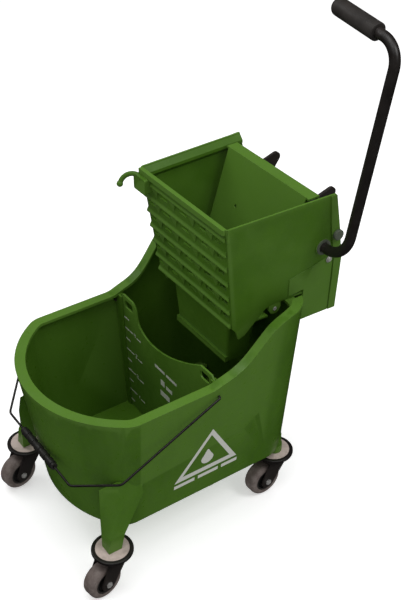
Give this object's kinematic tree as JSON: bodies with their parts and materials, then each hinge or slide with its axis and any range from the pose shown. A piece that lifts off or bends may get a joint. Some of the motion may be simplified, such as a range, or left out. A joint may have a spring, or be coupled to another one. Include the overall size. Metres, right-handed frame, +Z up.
{
  "type": "mop bucket with side-press wringer",
  "caption": "Wheeled mop bucket with a round front, a lift-out divider, a wire bail and a lift-off wringer whose side lever swings a hinged plate forward.",
  "frame": {"origin": "middle of the overall footprint, on the floor under the wheels", "axes": "+Z up, -Y is the rounded front of the bucket that the bail hangs on, +Y the wringer end, +X the lever side"},
  "size_m": [0.438, 0.6764, 1.015],
  "materials": {
    "green_plastic": "moulded polypropylene, satin with a soft sheen",
    "black_plastic": "moulded, satin",
    "black_steel": "black powder coat, semi-gloss",
    "zinc_steel": "bright zinc plate",
    "pale_grey_plastic": "moulded, satin",
    "wheel_tread_grey": "non-marking tread, matt",
    "grip_rubber": "ribbed sleeve, matt",
    "grey_nylon": "moulded nylon, satin"
  },
  "bodies": {
    "bucket": {"tub": "green_plastic", "cap_front_right": "pale_grey_plastic", "stem_front_right": "zinc_steel", "cap_front_left": "pale_grey_plastic", "stem_front_left": "zinc_steel", "cap_rear_right": "pale_grey_plastic", "stem_rear_right": "zinc_steel", "cap_rear_left": "pale_grey_plastic", "stem_rear_left": "zinc_steel"},
    "divider_panel": {"divider": "green_plastic"},
    "bail": {"bail_wire": "black_steel", "bail_grip": "black_plastic"},
    "swivel_front_right": {"fork_front_right": "black_steel", "axle_front_right": "zinc_steel", "nut_front_right": "zinc_steel"},
    "wheel_front_right": {"hub_front_right": "black_plastic", "tyre_front_right": "wheel_tread_grey"},
    "swivel_front_left": {"fork_front_left": "black_steel", "axle_front_left": "zinc_steel", "nut_front_left": "zinc_steel"},
    "wheel_front_left": {"hub_front_left": "black_plastic", "tyre_front_left": "wheel_tread_grey"},
    "swivel_rear_right": {"fork_rear_right": "black_steel", "axle_rear_right": "zinc_steel", "nut_rear_right": "zinc_steel"},
    "wheel_rear_right": {"hub_rear_right": "black_plastic", "tyre_rear_right": "wheel_tread_grey"},
    "swivel_rear_left": {"fork_rear_left": "black_steel", "axle_rear_left": "zinc_steel", "nut_rear_left": "zinc_steel"},
    "wheel_rear_left": {"hub_rear_left": "black_plastic", "tyre_rear_left": "wheel_tread_grey"},
    "wringer": {"wringer_body": "green_plastic", "lever_bush_right": "grey_nylon", "lever_bush_left": "grey_nylon", "plate_hinge_pin": "zinc_steel", "handle_hook": "green_plastic", "lever_stop": "grey_nylon", "wringer_screws": "zinc_steel"},
    "press": {"press_plate": "green_plastic"},
    "lever": {"lever_tube": "black_steel", "lever_grip": "grip_rubber", "lever_cap": "black_plastic", "push_arm_right": "black_steel", "push_arm_left": "black_steel", "roller_pin_right": "zinc_steel", "roller_pin_left": "zinc_steel"},
    "roller_right": {"push_roller_right": "black_plastic"},
    "roller_left": {"push_roller_left": "black_plastic"}
  },
  "joints": [
    {"name": "divider_lift", "type": "slide", "parent": "bucket", "child": "divider_panel", "axis": [0, 0, 1], "range_m": [0, 0.22]},
    {"name": "bail_swing", "type": "hinge", "parent": "bucket", "child": "bail", "pos_m": [0, -0.03482, 0.376], "axis": [-1, 0, 0], "range_deg": [0, 105]},
    {"name": "swivel_turn_front_right", "type": "hinge", "parent": "bucket", "child": "swivel_front_right", "pos_m": [0.178, -0.27082, 0.095], "axis": [0, 0, 1], "continuous": true},
    {"name": "wheel_roll_front_right", "type": "hinge", "parent": "swivel_front_right", "child": "wheel_front_right", "pos_m": [0.18254, -0.29946, 0.038], "axis": [0.9877, 0.1564, 0], "continuous": true},
    {"name": "swivel_turn_front_left", "type": "hinge", "parent": "bucket", "child": "swivel_front_left", "pos_m": [-0.178, -0.27082, 0.095], "axis": [0, 0, 1], "continuous": true},
    {"name": "wheel_roll_front_left", "type": "hinge", "parent": "swivel_front_left", "child": "wheel_front_left", "pos_m": [-0.17396, -0.29953, 0.038], "axis": [0.9903, 0.1392, 0], "continuous": true},
    {"name": "swivel_turn_rear_right", "type": "hinge", "parent": "bucket", "child": "swivel_rear_right", "pos_m": [0.136, 0.14918, 0.095], "axis": [0, 0, 1], "continuous": true},
    {"name": "wheel_roll_rear_right", "type": "hinge", "parent": "swivel_rear_right", "child": "wheel_rear_right", "pos_m": [0.13701, 0.1202, 0.038], "axis": [0.9994, 0.0349, 0], "continuous": true},
    {"name": "swivel_turn_rear_left", "type": "hinge", "parent": "bucket", "child": "swivel_rear_left", "pos_m": [-0.136, 0.14918, 0.095], "axis": [0, 0, 1], "continuous": true},
    {"name": "wheel_roll_rear_left", "type": "hinge", "parent": "swivel_rear_left", "child": "wheel_rear_left", "pos_m": [-0.13347, 0.12029, 0.038], "axis": [0.9962, 0.0872, 0], "continuous": true},
    {"name": "wringer_lift", "type": "slide", "parent": "bucket", "child": "wringer", "axis": [0, 0, 1], "range_m": [0, 0.25]},
    {"name": "lever_pull", "type": "hinge", "parent": "wringer", "child": "lever", "pos_m": [0, 0.23768, 0.58], "axis": [1, 0, 0], "range_deg": [0, 66]},
    {"name": "plate_press", "type": "hinge", "parent": "wringer", "child": "press", "pos_m": [0, 0.13718, 0.47], "axis": [1, 0, 0], "range_deg": [0, 21.78]},
    {"name": "roller_turn_right", "type": "hinge", "parent": "lever", "child": "roller_right", "pos_m": [0.0725, 0.25918, 0.64], "axis": [1, 0, 0], "continuous": true},
    {"name": "roller_turn_left", "type": "hinge", "parent": "lever", "child": "roller_left", "pos_m": [-0.0725, 0.25918, 0.64], "axis": [1, 0, 0], "continuous": true}
  ],
  "couplings": [
    {"joint": "plate_press", "follows": "lever_pull", "ratio": 0.33}
  ]
}
